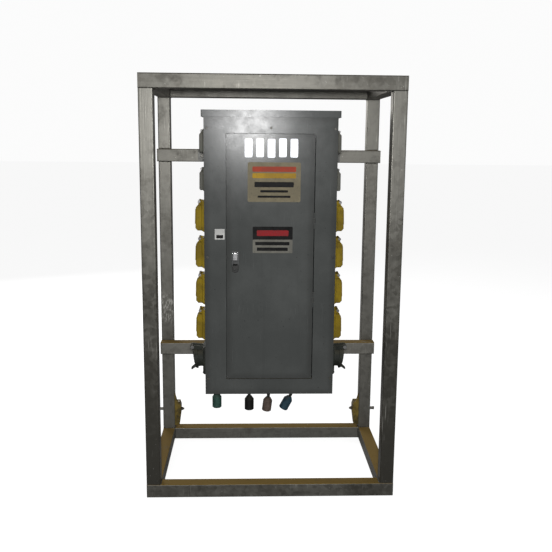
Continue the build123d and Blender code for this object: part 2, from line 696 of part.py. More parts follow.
def cam_boot():
    """Slip-on rubber boot with a tapered shoulder and two grip rings."""
    boot = Pos(0, 0, -6.5) * Cone(BOOT_RADIUS, 10, 13) + rod("z", BOOT_RADIUS, -BOOT_LENGTH + 3, -13)
    boot += Pos(0, 0, -BOOT_LENGTH + 1.5) * Cone(BOOT_RADIUS - 3, BOOT_RADIUS, 3)
    for ring_z in (-22, -28):
        boot -= Pos(0, 0, ring_z) * (Cylinder(BOOT_RADIUS + 2, 2) - Cylinder(BOOT_RADIUS - 1, 2))
    return boot - rod("z", TAIL_RADIUS + 0.3, -51, 1)


def build():
    os.makedirs("parts", exist_ok=True)
    save("frame_posts", *posts())
    save("frame_cross_rails", *ring("x"))
    save("frame_side_rails", *ring("y"))
    save("mount_rails", *mount_rails())
    save("tube_end_plugs", *end_plugs())
    save("mounting_ears", *mounting_ears())
    save("strap_hooks", *on_rear_posts(strap_hook()))
    save("frame_bolts", *cage_bolts())
    save("enclosure_box", enclosure_box())
    save("rain_hood", rain_hood())
    save("cover_trim", cover_trim())
    save("cover_screws", *cover_screws())
    save("door_panel", door_panel())
    save("latch_housing", at_latch(latch_housing()))
    save("latch_handle", at_latch(latch_handle()))
    save("latch_tongue", at_latch(latch_tongue()))
    save("hinge_pins", *hinge_pins())
    save("dead_front", dead_front())
    save("interior_base", interior_base())
    save("bus_bars", *bus_bars())
    save("breaker_cases", *breaker_cases())
    save("main_breaker_toggle", main_toggle())
    for name, handle in branch_toggles().items():
        save(name, handle)
    groups = {
        "duplex": (DUPLEX_ROWS, duplex_frame(), duplex_outlet(), duplex_lid()),
        "locking": (LOCKING_ROWS, locking_frame(), locking_outlet(), locking_lid()),
        "large": ((LARGE_ROW,), large_frame(), large_outlet(), large_lid()),
    }
    for kind, (rows, frame, outlet, lid) in groups.items():
        save(f"{kind}_frames", *[piece for row in rows for piece in on_sides(frame, row)])
        save(f"{kind}_outlets", *[piece for row in rows for piece in on_sides(outlet, row)])
        for number, row in enumerate(rows, 1):
            left, right = on_sides(lid, row)
            save(f"{kind}_lid_left_{number}", left)
            save(f"{kind}_lid_right_{number}", right)
    save("large_hoods", *on_sides(large_hood(), LARGE_ROW))
    save("cam_glands", *[Pos(x, CAM_Y, BOX_FLOOR) * cam_gland() for x, _, _ in CAMS.values()])
    save("cam_tails", *[lead_tail(*place) for place in CAMS.values()])
    save("cam_contacts", *[along_tail(cam_contact(), *place) for place in CAMS.values()])
    for colour, place in CAMS.items():
        save(f"cam_boot_{colour}", along_tail(cam_boot(), *place))


build()
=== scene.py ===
"""Looks of a portable power distribution box: a painted panelboard hung in a galvanised cage.

Metres, +Z up, front towards -Y, origin on the floor in the middle of the cage.
"""

import math
import random

import bmesh
import bpy
from mathutils import Matrix, Vector


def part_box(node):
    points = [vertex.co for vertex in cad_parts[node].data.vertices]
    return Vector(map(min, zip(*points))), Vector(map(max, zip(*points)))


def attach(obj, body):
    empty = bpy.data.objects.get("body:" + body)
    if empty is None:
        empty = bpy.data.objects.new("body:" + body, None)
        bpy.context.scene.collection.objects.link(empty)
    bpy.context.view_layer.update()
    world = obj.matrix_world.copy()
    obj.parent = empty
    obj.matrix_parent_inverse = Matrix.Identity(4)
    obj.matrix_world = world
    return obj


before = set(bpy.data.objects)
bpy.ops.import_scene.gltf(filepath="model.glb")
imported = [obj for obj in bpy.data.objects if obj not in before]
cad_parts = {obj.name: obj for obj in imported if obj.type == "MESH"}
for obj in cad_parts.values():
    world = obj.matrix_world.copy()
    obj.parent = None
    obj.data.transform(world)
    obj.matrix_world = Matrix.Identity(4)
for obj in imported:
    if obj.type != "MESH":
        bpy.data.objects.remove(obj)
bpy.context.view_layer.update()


# Cage tubes -----------------------------------------------------------------------------------------
# Two-inch square steel tube, hot-dip galvanised and years in use: spangled, stained grey zinc with tan
# dust lying on every upward face and a few spots of rust. The front posts are painted paler upwards
# and darker towards the floor, painted light and painted shade for the lamp's falloff.


def add_node(tree, kind, inputs=None, **settings):
    """A shader node with its settings, and its sockets set or linked by name or number."""
    made = tree.nodes.new("ShaderNode" + kind)
    for key, value in settings.items():
        setattr(made, key, value)
    for socket, value in (inputs or {}).items():
        if isinstance(value, bpy.types.NodeSocket):
            tree.links.new(value, made.inputs[socket])
        else:
            made.inputs[socket].default_value = value
    return made


def new_effect(name, inputs, outputs):
    """An empty shader group with named inputs and outputs, and its two end nodes."""
    group = bpy.data.node_groups.new(name, "ShaderNodeTree")
    kinds = {float: "NodeSocketFloat", tuple: "NodeSocketVector", list: "NodeSocketColor"}
    for title, value in inputs.items():
        socket = group.interface.new_socket(title, in_out="INPUT", socket_type=kinds[type(value)])
        socket.default_value = value
    for title, kind in outputs.items():
        group.interface.new_socket(title, in_out="OUTPUT", socket_type="NodeSocket" + kind)
    return group, group.nodes.new("NodeGroupInput").outputs, group.nodes.new("NodeGroupOutput").inputs


def use_effect(tree, group, **inputs):
    """One of the groups in a material. Underscores in the names stand for spaces."""
    made = tree.nodes.new("ShaderNodeGroup")
    made.node_tree = group
    for title, value in inputs.items():
        socket = made.inputs[title.replace("_", " ")]
        if isinstance(value, bpy.types.NodeSocket):
            tree.links.new(value, socket)
        else:
            socket.default_value = value
    return made.outputs


def combine(tree, operation, first, second, clamp=False):
    return add_node(tree, "Math", {0: first, 1: second}, operation=operation, use_clamp=clamp).outputs[0]


def ramp_up(tree, value, low, high):
    """0 below low, 1 above high, and smooth between. It falls if low is the larger."""
    inputs = {"Value": value, "From Min": low, "From Max": high}
    return add_node(tree, "MapRange", inputs, interpolation_type="SMOOTHSTEP").outputs[0]


def tint(tree, factor, first, second):
    """The first colour turning into the second as the factor rises."""
    made = add_node(tree, "Mix", {0: factor, 6: first, 7: second}, data_type="RGBA")
    return made.outputs[2]


def noise(tree, place, scale, detail=4.0, roughness=0.6):
    inputs = {"Vector": place, "Scale": scale, "Detail": detail, "Roughness": roughness}
    return add_node(tree, "TexNoise", inputs).outputs[0]


# Stains in two sizes and a fine tooth, from 0 to 1 about a middle of 0.5
staining, given, out = new_effect(
    "Staining",
    {"Patch size": 0.15, "Shift": (0.0, 0.0, 0.0)},
    {"Patches": "Float", "Specks": "Float", "Tooth": "Float"},
)
place = add_node(staining, "TexCoord").outputs["Object"]
place = add_node(staining, "VectorMath", {0: place, 1: given["Shift"]}, operation="ADD").outputs[0]
size = combine(staining, "DIVIDE", 1.0, given["Patch size"])
staining.links.new(noise(staining, place, size, 6.0, 0.62), out["Patches"])
staining.links.new(noise(staining, place, combine(staining, "MULTIPLY", size, 7.0), 3.0, 0.7), out["Specks"])
staining.links.new(noise(staining, place, 900.0, 2.0), out["Tooth"])

# Dust on upward faces, patchy, and thinner with height
dust, given, out = new_effect("Dust from above", {"Amount": 1.0, "Top height": 1.6}, {"Mask": "Float"})
coordinates = add_node(dust, "TexCoord").outputs
up = add_node(dust, "SeparateXYZ", {0: coordinates["Normal"]}).outputs["Z"]
height = add_node(dust, "SeparateXYZ", {0: coordinates["Object"]}).outputs["Z"]
facing = ramp_up(dust, up, 0.35, 0.9)
patchy = ramp_up(dust, noise(dust, coordinates["Object"], 14.0, 5.0, 0.65), 0.14, 0.5)
thinning = ramp_up(dust, combine(dust, "DIVIDE", height, given["Top height"]), 1.0, 0.0)
mask = combine(dust, "MULTIPLY", combine(dust, "MULTIPLY", facing, patchy), thinning)
dust.links.new(combine(dust, "MULTIPLY", mask, given["Amount"], clamp=True), out["Mask"])

# Fine scratches in three directions, kept to a few worn areas
scratches, given, out = new_effect("Scratches", {"Amount": 0.5, "Spacing": 0.006}, {"Mask": "Float"})
place = add_node(scratches, "TexCoord").outputs["Object"]
fine = combine(scratches, "DIVIDE", 1.0, given["Spacing"])
lines = None
for turn in ((0.2, 0.35, 0.0), (-0.5, -0.9, 0.3), (0.9, 1.35, -0.4)):
    inputs = {"Vector": place, "Rotation": turn, "Scale": (1.0, 1.0, 0.035)}
    turned = add_node(scratches, "Mapping", inputs).outputs[0]
    line = ramp_up(scratches, noise(scratches, turned, fine, 1.0, 0.3), 0.70, 0.76)
    lines = line if lines is None else combine(scratches, "MAXIMUM", lines, line)
worn = ramp_up(scratches, noise(scratches, place, 9.0, 3.0), 0.5, 0.68)
lines = combine(scratches, "MULTIPLY", combine(scratches, "MULTIPLY", lines, worn), given["Amount"])
scratches.links.new(lines, out["Mask"])


def new_finish(name, roughness=0.5, metallic=0.0):
    """A material with one Principled shader, and its tree."""
    made = bpy.data.materials.new(name)
    made.use_nodes = True
    shader = made.node_tree.nodes["Principled BSDF"]
    shader.inputs["Roughness"].default_value = roughness
    shader.inputs["Metallic"].default_value = metallic
    return made, made.node_tree, shader


def roughen(tree, shader, height, distance, strength=0.5):
    bump = add_node(tree, "Bump", {"Height": height, "Distance": distance, "Strength": strength})
    tree.links.new(bump.outputs[0], shader.inputs["Normal"])


def dress(finish, *nodes):
    """Gives CAD nodes their finish."""
    for name in nodes:
        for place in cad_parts[name].material_slots:
            place.material = finish


RING_SEAMS = (0.0508, 1.4732)  # heights where the posts meet the two rings
SCRAPED = ((-0.427, 0.262, 0.595), 0.085)  # where the zinc is scraped bright, and how far
RUB_COLOUR = (0.34, 0.335, 0.31, 1)
RUST_COLOUR = (0.05, 0.022, 0.010, 1)
DUST_COLOUR = (0.150, 0.088, 0.004, 1)


def galvanised(name, dark, light, shift, dust_amount, along, painted_falloff=0.0, polish=0.24):
    """Old zinc: faint spangle, soft stains, rubs, drawn grain and the joint lines at the two rings.
    along is the tube's own axis. painted_falloff is painted light and painted shade: how much the front
    posts are painted paler upwards from the middle and darker downwards. polish is the least roughness."""
    made, tree, shader = new_finish(name)
    coordinates = add_node(tree, "TexCoord").outputs["Object"]
    _, y, z = add_node(tree, "SeparateXYZ", {0: coordinates}).outputs
    stains = use_effect(tree, staining, Patch_size=0.24, Shift=shift)
    warp = add_node(tree, "TexNoise", {"Vector": coordinates, "Scale": 40.0, "Detail": 2.0}).outputs["Color"]
    warp = add_node(tree, "VectorMath", {0: warp, "Scale": 0.02}, operation="SCALE").outputs[0]
    broken = add_node(tree, "VectorMath", {0: coordinates, 1: warp}, operation="ADD").outputs[0]
    spangle = add_node(tree, "TexVoronoi", {"Vector": broken, "Scale": 70.0}).outputs["Color"]
    spangle = add_node(tree, "SeparateColor", {0: spangle}).outputs[0]
    stretch = tuple(3.0 if axis == along else 46.0 for axis in "xyz")
    runs = add_node(tree, "Mapping", {"Vector": coordinates, "Scale": stretch}).outputs[0]
    runs = noise(tree, runs, 1.0, 5.0)
    stretch = tuple(7.0 if axis == along else 330.0 for axis in "xyz")
    grain = add_node(tree, "Mapping", {"Vector": coordinates, "Scale": stretch}).outputs[0]
    grain = noise(tree, grain, 1.0, 2.0)
    tone = combine(tree, "MULTIPLY", stains["Patches"], 0.42)
    for part, share in ((stains["Specks"], 0.22), (spangle, 0.12), (runs, 0.24)):
        tone = combine(tree, "ADD", tone, combine(tree, "MULTIPLY", part, share))
    rear = ramp_up(tree, y, -0.15, 0.25)
    # Painted light and painted shade: the front posts are painted paler upwards from the middle and darker
    # downwards, as the lamp's light falls off.
    inputs = {"Value": z, "From Min": 0.2, "From Max": 1.45, "To Min": -painted_falloff, "To Max": painted_falloff}
    painted_height_light = add_node(tree, "MapRange", inputs).outputs[0]
    tone = combine(tree, "ADD", tone, combine(tree, "MULTIPLY", painted_height_light, combine(tree, "SUBTRACT", 1.0, rear)))
    tone = combine(tree, "ADD", tone, combine(tree, "MULTIPLY", rear, 0.16))
    colour = tint(tree, ramp_up(tree, tone, 0.28, 0.74), dark, light)
    blotches = ramp_up(tree, noise(tree, coordinates, 11.0, 5.0, 0.7), 0.50, 0.80)
    blotches = combine(tree, "MULTIPLY", blotches, 0.60)
    colour = tint(tree, blotches, colour, (0.020, 0.017, 0.012, 1))
    joint = None
    for seam in RING_SEAMS:
        gap = combine(tree, "ABSOLUTE", combine(tree, "SUBTRACT", z, seam), 0.0)
        line = ramp_up(tree, gap, 0.0018, 0.0006)
        joint = line if joint is None else combine(tree, "MAXIMUM", joint, line)
    colour = tint(tree, combine(tree, "MULTIPLY", joint, 0.85), colour, (0.008, 0.007, 0.006, 1))
    rubbed = use_effect(tree, scratches, Amount=0.5, Spacing=0.004)["Mask"]
    place, reach = SCRAPED
    near = add_node(tree, "VectorMath", {0: coordinates, 1: place}, operation="DISTANCE").outputs["Value"]
    inputs = {"Vector": coordinates, "Rotation": (0.0, 0.6, 0.0), "Scale": (1.0, 1.0, 0.35)}
    turned = add_node(tree, "Mapping", inputs).outputs[0]
    scrape = ramp_up(tree, noise(tree, turned, 150.0, 3.0, 0.7), 0.50, 0.58)
    scrape = combine(tree, "MULTIPLY", scrape, ramp_up(tree, near, reach, reach * 0.4))
    rubbed = combine(tree, "MAXIMUM", rubbed, scrape)
    nicks = ramp_up(tree, noise(tree, coordinates, 75.0, 3.0, 0.6), 0.69, 0.74)
    rubbed = combine(tree, "MAXIMUM", rubbed, combine(tree, "MULTIPLY", nicks, 0.55))
    colour = tint(tree, rubbed, colour, RUB_COLOUR)
    spots = ramp_up(tree, noise(tree, coordinates, 55.0, 5.0, 0.7), 0.66, 0.74)
    edge = ramp_up(tree, noise(tree, coordinates, 3.0, 2.0), 0.5, 0.62)
    rust = combine(tree, "MULTIPLY", spots, edge)
    colour = tint(tree, combine(tree, "MULTIPLY", rust, 0.7), colour, RUST_COLOUR)
    settled = use_effect(tree, dust, Amount=dust_amount, Top_height=2.2)["Mask"]
    colour = tint(tree, settled, colour, DUST_COLOUR)
    tree.links.new(colour, shader.inputs["Base Color"])
    shine = combine(tree, "SUBTRACT", 0.40, combine(tree, "MAXIMUM", settled, rust), clamp=True)
    tree.links.new(shine, shader.inputs["Metallic"])
    rough = combine(tree, "ADD", polish, combine(tree, "MULTIPLY", stains["Patches"], 0.12))
    for part, share in ((stains["Specks"], 0.13), (spangle, 0.06), (blotches, 0.25), (settled, 0.65)):
        rough = combine(tree, "ADD", rough, combine(tree, "MULTIPLY", part, share))
    tree.links.new(rough, shader.inputs["Roughness"])
    relief = combine(tree, "ADD", stains["Specks"], combine(tree, "MULTIPLY", stains["Tooth"], 0.2))
    relief = combine(tree, "ADD", relief, combine(tree, "MULTIPLY", grain, 0.8))
    roughen(tree, shader, relief, 0.0007, 0.35)
    shader.inputs["Specular IOR Level"].default_value = 0.85
    shader.inputs["Specular Tint"].default_value = (1.0, 0.95, 0.86, 1)
    return made


ZINC_DARK = (0.026, 0.025, 0.020, 1)
ZINC_LIGHT = (0.130, 0.128, 0.114, 1)
ZINC_PALE = (0.16, 0.157, 0.140, 1)
post_zinc = galvanised("post_zinc", ZINC_DARK, ZINC_LIGHT, (0.0, 0.0, 0.0), 1.2, "z", painted_falloff=0.26)
dress(post_zinc, "frame_posts")
cross_zinc = galvanised("cross_zinc", ZINC_DARK, ZINC_LIGHT, (1.3, 2.1, 0.4), 1.2, "x", polish=0.30)
dress(cross_zinc, "frame_cross_rails")
side_zinc = galvanised("side_zinc", ZINC_DARK, ZINC_LIGHT, (2.7, 0.3, 1.9), 1.2, "y")
dress(side_zinc, "frame_side_rails")
rail_zinc = galvanised("rail_zinc", ZINC_DARK, ZINC_PALE, (3.1, 0.7, 5.2), 1.3, "x", polish=0.36)
dress(rail_zinc, "mount_rails")


# Welds ----------------------------------------------------------------------------------------------
# Rippled fillet beads where the posts meet the two rings, run on the inner corners only: the outer
# faces are ground flush. The carrier rails are welded to the posts above and below.

BEAD = 0.0032
BEAD_STEP = 0.0024
TUBE = 0.0508

cage_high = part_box("frame_cross_rails")[1]
post_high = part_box("frame_posts")[1]
rail_low, rail_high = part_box("mount_rails")


def lay_bead(mesh, start, end, ripple):
    """A weld bead from start to end: rings of eight points that swell and shrink along the seam."""
    start, end = Vector(start), Vector(end)
    run = end - start
    steps = max(2, round(run.length / BEAD_STEP))
    turn = Vector((0, 0, 1)).rotation_difference(run.normalized()).to_matrix().to_4x4()
    ring = bmesh.ops.create_circle(
        mesh, cap_ends=True, segments=8, radius=BEAD * 0.6, matrix=Matrix.Translation(start) @ turn
    )
    face = ring["verts"][0].link_faces[0]
    for step in range(steps):
        made = bmesh.ops.extrude_discrete_faces(mesh, faces=[face])
        face = made["faces"][0]
        bmesh.ops.translate(mesh, verts=face.verts, vec=run / steps)
        middle = start + run * ((step + 1) / steps)
        swell = (1.0, 0.78)[step % 2] * ripple.uniform(0.9, 1.1) * BEAD
        if step == steps - 1:
            swell = BEAD * 0.55
        wide = (face.verts[0].co - middle).length
        bmesh.ops.scale(mesh, verts=face.verts, vec=(swell / wide,) * 3, space=Matrix.Translation(-middle))


def finish_mesh(name, mesh, finish, body, smooth=True):
    """The object of a finished bmesh, riding on its body with its finish."""
    bmesh.ops.recalc_face_normals(mesh, faces=mesh.faces)
    data = bpy.data.meshes.new(name)
    mesh.to_mesh(data)
    mesh.free()
    for polygon in data.polygons:
        polygon.use_smooth = smooth
    made = bpy.data.objects.new(name, data)
    bpy.context.scene.collection.objects.link(made)
    data.materials.append(finish)
    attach(made, body)
    return made


ripple = random.Random(7)
beads = bmesh.new()
inner_x, inner_y = post_high[0] - TUBE, post_high[1] - TUBE
for side in (-1, 1):
    for depth in (-1, 1):
        for seam in (TUBE, post_high[2]):
            corner = Vector((side * inner_x, depth * inner_y, seam))
            lay_bead(beads, corner, corner + Vector((0, depth * (TUBE - 0.004), 0)), ripple)
            lay_bead(beads, corner, corner + Vector((side * (TUBE - 0.004), 0, 0)), ripple)
    for ring in (TUBE / 2, cage_high[2] - TUBE / 2):
        for depth in (-1, 1):
            foot = Vector((side * inner_x, depth * inner_y, ring - TUBE / 2 + 0.003))
            lay_bead(beads, foot, foot + Vector((0, 0, TUBE - 0.006)), ripple)
    for seam in (rail_low[2], rail_low[2] + TUBE, rail_high[2] - TUBE, rail_high[2]):
        start = Vector((side * inner_x, rail_high[1], seam))
        lay_bead(beads, start, start + Vector((side * (TUBE - 0.006), 0, 0)), ripple)

weld_finish, tree, shader = new_finish("weld_zinc", 0.5, 0.5)
stains = use_effect(tree, staining, Patch_size=0.05)
colour = tint(tree, stains["Patches"], (0.022, 0.020, 0.015, 1), (0.11, 0.108, 0.095, 1))
tree.links.new(colour, shader.inputs["Base Color"])
roughen(tree, shader, stains["Tooth"], 0.0004)
finish_mesh("weld_beads", beads, weld_finish, "frame")


# Rail fittings --------------------------------------------------------------------------------------
# Black plastic plugs in the tube ends, plated bolts and ears that hold the box, and the strap hooks
# low on the rear posts, bent from flat bar that has gone brown with dust.


def plated(name, dark, light, dust_amount, metallic=0.8):
    """Dull zinc plate with handling stains."""
    made, tree, shader = new_finish(name, 0.42, metallic)
    stains = use_effect(tree, staining, Patch_size=0.03)
    colour = tint(tree, ramp_up(tree, stains["Patches"], 0.3, 0.7), dark, light)
    settled = use_effect(tree, dust, Amount=dust_amount, Top_height=3.0)["Mask"]
    colour = tint(tree, settled, colour, (0.15, 0.105, 0.03, 1))
    tree.links.new(colour, shader.inputs["Base Color"])
    rough = combine(tree, "ADD", 0.25, combine(tree, "MULTIPLY", stains["Specks"], 0.4))
    tree.links.new(rough, shader.inputs["Roughness"])
    roughen(tree, shader, stains["Tooth"], 0.0003, 0.3)
    return made


def moulding(
    name, dark, light, patch, roughness, dust_amount, dust_colour=(0.10, 0.085, 0.06, 1), gloss=0.25
):
    """Moulded plastic or rubber: a soft change of tone, fine tooth, scuffs and a little dust."""
    made, tree, shader = new_finish(name, roughness)
    shader.inputs["Specular IOR Level"].default_value = gloss
    stains = use_effect(tree, staining, Patch_size=patch, Shift=(1.7, 0.4, 0.9))
    colour = tint(tree, ramp_up(tree, stains["Patches"], 0.32, 0.68), dark, light)
    grime = ramp_up(tree, stains["Specks"], 0.42, 0.28)
    shade = (light[0] * 0.3, light[1] * 0.3, light[2] * 0.3, 1)
    colour = tint(tree, combine(tree, "MULTIPLY", grime, 0.6), colour, shade)
    rubbed = use_effect(tree, scratches, Amount=0.35, Spacing=0.003)["Mask"]
    pale = tuple(min(1.0, part * 1.5 + 0.015) for part in light[:3]) + (1,)
    colour = tint(tree, rubbed, colour, pale)
    settled = use_effect(tree, dust, Amount=dust_amount, Top_height=3.0)["Mask"]
    colour = tint(tree, settled, colour, dust_colour)
    tree.links.new(colour, shader.inputs["Base Color"])
    rough = combine(tree, "ADD", roughness - 0.12, combine(tree, "MULTIPLY", stains["Specks"], 0.3))
    tree.links.new(rough, shader.inputs["Roughness"])
    roughen(tree, shader, stains["Tooth"], 0.0003, 0.25)
    return made


plate_steel = plated("plated_steel", (0.055, 0.052, 0.045, 1), (0.20, 0.195, 0.175, 1), 0.4, 0.5)
dress(plate_steel, "frame_bolts")
ear_zinc = plated("ear_zinc", (0.06, 0.06, 0.055, 1), (0.14, 0.14, 0.13, 1), 0.3, 0.4)
dress(ear_zinc, "mounting_ears")
hook_steel = plated("hook_steel", (0.028, 0.021, 0.006, 1), (0.21, 0.145, 0.020, 1), 0.3, 0.1)
dress(hook_steel, "strap_hooks")
plug_plastic = moulding("plug_plastic", (0.016, 0.016, 0.015, 1), (0.035, 0.034, 0.032, 1), 0.03, 0.55, 0.3)
dress(plug_plastic, "tube_end_plugs")


# Box and front cover --------------------------------------------------------------------------------
# Folded sheet steel in satin grey enamel. It is scuffed and chipped at the edges and grimy where hands
# and rain reach. It is painted paler near the top: painted light from the lamp above.


def enamel(name, deep, fair, shift, panel=None, roughness=0.215):
    """Grey enamel. panel is (left, right, bottom, top) of a face whose border is worn."""
    made, tree, shader = new_finish(name, roughness)
    coordinates = add_node(tree, "TexCoord").outputs["Object"]
    x, _, z = add_node(tree, "SeparateXYZ", {0: coordinates}).outputs
    stains = use_effect(tree, staining, Patch_size=0.26, Shift=shift)
    # Painted light: the enamel is painted paler towards the top, where the lamp lights it most.
    painted_height_light = combine(tree, "MULTIPLY", ramp_up(tree, z, 0.3, 1.45), 0.15)
    tone = combine(tree, "ADD", combine(tree, "MULTIPLY", stains["Patches"], 0.9), painted_height_light)
    colour = tint(tree, ramp_up(tree, tone, 0.35, 0.95), deep, fair)
    runs = add_node(tree, "Mapping", {"Vector": coordinates, "Scale": (60.0, 60.0, 2.0)}).outputs[0]
    runs = ramp_up(tree, noise(tree, runs, 1.0, 4.0), 0.56, 0.72)
    colour = tint(tree, combine(tree, "MULTIPLY", runs, 0.06), colour, (0.022, 0.022, 0.020, 1))
    specks = ramp_up(tree, noise(tree, coordinates, 120.0, 3.0, 0.6), 0.69, 0.73)
    colour = tint(tree, combine(tree, "MULTIPLY", specks, 0.65), colour, (0.022, 0.022, 0.02, 1))
    rubbed = use_effect(tree, scratches, Amount=0.3, Spacing=0.003)["Mask"]
    colour = tint(tree, rubbed, colour, (0.15, 0.155, 0.155, 1))
    if panel:
        left, right, bottom, top = panel
        insets = []
        for part, low, high in ((x, left, right), (z, bottom, top)):
            away = combine(tree, "ABSOLUTE", combine(tree, "SUBTRACT", part, (low + high) / 2), 0.0)
            insets.append(combine(tree, "SUBTRACT", (high - low) / 2, away))
        inset = combine(tree, "MINIMUM", *insets)
        wander = combine(tree, "MULTIPLY", noise(tree, coordinates, 70.0, 5.0, 0.7), 0.006)
        chipped = ramp_up(tree, combine(tree, "ADD", inset, wander), 0.0036, 0.0026)
        colour = tint(tree, combine(tree, "MULTIPLY", chipped, 0.5), colour, (0.11, 0.11, 0.105, 1))
        soiled = combine(tree, "MULTIPLY", ramp_up(tree, inset, 0.03, 0.002), 0.35)
        colour = tint(tree, soiled, colour, (0.025, 0.025, 0.023, 1))
    settled = use_effect(tree, dust, Amount=0.75, Top_height=3.0)["Mask"]
    colour = tint(tree, settled, colour, (0.12, 0.10, 0.07, 1))
    tree.links.new(colour, shader.inputs["Base Color"])
    rough = combine(tree, "ADD", roughness - 0.07, combine(tree, "MULTIPLY", stains["Specks"], 0.14))
    rough = combine(tree, "ADD", rough, combine(tree, "MULTIPLY", settled, 0.35))
    shader.inputs["Specular IOR Level"].default_value = 0.14
    tree.links.new(rough, shader.inputs["Roughness"])
    relief = combine(tree, "ADD", combine(tree, "MULTIPLY", stains["Tooth"], 0.25), stains["Patches"])
    roughen(tree, shader, relief, 0.0006, 0.25)
    return made


PAINT_DEEP = (0.062, 0.066, 0.064, 1)
PAINT_FAIR = (0.102, 0.107, 0.104, 1)
box_low, box_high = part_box("enclosure_box")
COVER_SHEET = 0.002
cover_face = box_low[1] - COVER_SHEET  # front face of the cover and the door
cover_edges = (box_low[0], box_high[0], box_low[2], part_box("cover_trim")[1][2])
box_enamel = enamel("box_enamel", PAINT_DEEP, PAINT_FAIR, (0.0, 0.0, 0.0))
dress(box_enamel, "enclosure_box", "dead_front")
cover_enamel = enamel("cover_enamel", PAINT_DEEP, PAINT_FAIR, (2.3, 0.0, 1.1), cover_edges)
dress(cover_enamel, "cover_trim")
hood_enamel = enamel("hood_enamel", PAINT_DEEP, (0.095, 0.10, 0.10, 1), (0.9, 3.0, 0.2))
dress(hood_enamel, "rain_hood")
screw_steel = plated("screw_steel", (0.02, 0.019, 0.017, 1), (0.12, 0.115, 0.10, 1), 0.2, 0.5)
dress(screw_steel, "cover_screws")
pin_steel = plated("pin_steel", (0.10, 0.10, 0.10, 1), (0.26, 0.255, 0.25, 1), 0.2, 0.6)
dress(pin_steel, "hinge_pins")


# Door -----------------------------------------------------------------------------------------------
# One flat pan of the same sheet, its front flush with the cover. It carries the latch on the left
# and is worn round its edges.

door_low, door_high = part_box("door_panel")
DOOR_RIGHT_GAP = 0.0057  # the hinge knuckles stand this far past the panel's edge
door_edges = (door_low[0], door_high[0] - DOOR_RIGHT_GAP, door_low[2], door_high[2])
door_enamel = enamel("door_enamel", PAINT_DEEP, PAINT_FAIR, (5.0, 1.0, 2.2), door_edges)
dress(door_enamel, "door_panel")


# Door labels ----------------------------------------------------------------------------------------
# Five blank tiles of white reflective tape, a plain cream plate with coloured bands, a smaller two-part
# plate, and an inspection sticker on the cover. All are thin vinyl, stuck on, and carry no writing.

VINYL = 0.0005


def stick_on(name, left, right, bottom, top, finish, body, lift=0.0, radius=0.003):
    """A rounded vinyl rectangle on the front face, lying on whatever is lift proud of it."""
    mesh = bmesh.new()
    corners = ((left, bottom), (right, bottom), (right, top), (left, top))
    mesh.faces.new([mesh.verts.new((x, cover_face - lift, z)) for x, z in corners])
    bmesh.ops.bevel(
        mesh, geom=mesh.verts[:], offset=radius, offset_type="OFFSET", affect="VERTICES",
        segments=4, profile=0.5, material=-1,
    )
    skin = bmesh.ops.extrude_face_region(mesh, geom=mesh.faces[:])
    raised = [part for part in skin["geom"] if isinstance(part, bmesh.types.BMVert)]
    bmesh.ops.translate(mesh, verts=raised, vec=(0, -VINYL, 0))
    return finish_mesh(name, mesh, finish, body, smooth=False)


def vinyl(name, colour, wear, roughness=0.42, shift=(0.0, 0.0, 0.0)):
    """Printed vinyl, faded and scuffed, with dirt in the scuffs."""
    made, tree, shader = new_finish(name, roughness)
    stains = use_effect(tree, staining, Patch_size=0.05, Shift=shift)
    faded = tuple(part * 0.72 + 0.01 for part in colour[:3]) + (1,)
    mixed = tint(tree, ramp_up(tree, stains["Patches"], 0.35, 0.7), faded, colour)
    dirt = combine(tree, "MULTIPLY", ramp_up(tree, stains["Specks"], 0.56, 0.68), wear)
    mixed = tint(tree, dirt, mixed, (0.06, 0.058, 0.05, 1))
    tree.links.new(mixed, shader.inputs["Base Color"])
    rough = combine(tree, "ADD", roughness - 0.05, combine(tree, "MULTIPLY", stains["Specks"], 0.1))
    tree.links.new(rough, shader.inputs["Roughness"])
    shader.inputs["Specular IOR Level"].default_value = 0.06
    roughen(tree, shader, stains["Tooth"], 0.0002, 0.1)
    return made


tape_white, tree, shader = new_finish("tape_white", 0.3)
stains = use_effect(tree, staining, Patch_size=0.03)
coordinates = add_node(tree, "TexCoord").outputs["Object"]
inputs = {"Vector": coordinates, "Scale": 420.0}
cells = add_node(tree, "TexVoronoi", inputs, feature="DISTANCE_TO_EDGE").outputs[0]
weave = ramp_up(tree, cells, 0.02, 0.12)
colour = tint(tree, weave, (0.62, 0.66, 0.74, 1), (0.93, 0.94, 0.98, 1))
grime = combine(tree, "MULTIPLY", ramp_up(tree, stains["Specks"], 0.58, 0.72), 0.5)
colour = tint(tree, grime, colour, (0.3, 0.3, 0.3, 1))
tree.links.new(colour, shader.inputs["Base Color"])
# Painted light: the tape glows faintly, standing in for the lamp's light thrown back by reflective tape.
painted_glow = tint(tree, weave, (0.35, 0.4, 0.5, 1), (0.6, 0.62, 0.68, 1))
tree.links.new(painted_glow, shader.inputs["Emission Color"])
shader.inputs["Emission Strength"].default_value = 0.35
roughen(tree, shader, cells, 0.0002, 0.3)

TAPE_LEFT, TAPE_PITCH, TAPE_WIDTH = -0.099, 0.0432, 0.029
TAPE_FLOOR, TAPE_TOP = 1.240, 1.310
TAPE_SLIPS = (0.000, 0.0012, -0.0006, 0.0015, 0.0004)  # how far each tile sits off the line
for number, slip in enumerate(TAPE_SLIPS):
    left = TAPE_LEFT + TAPE_PITCH * number
    right, bottom, top = left + TAPE_WIDTH, TAPE_FLOOR + slip, TAPE_TOP + slip
    stick_on(f"tape_tile_{number + 1}", left, right, bottom, top, tape_white, "door", 0, 0.005)

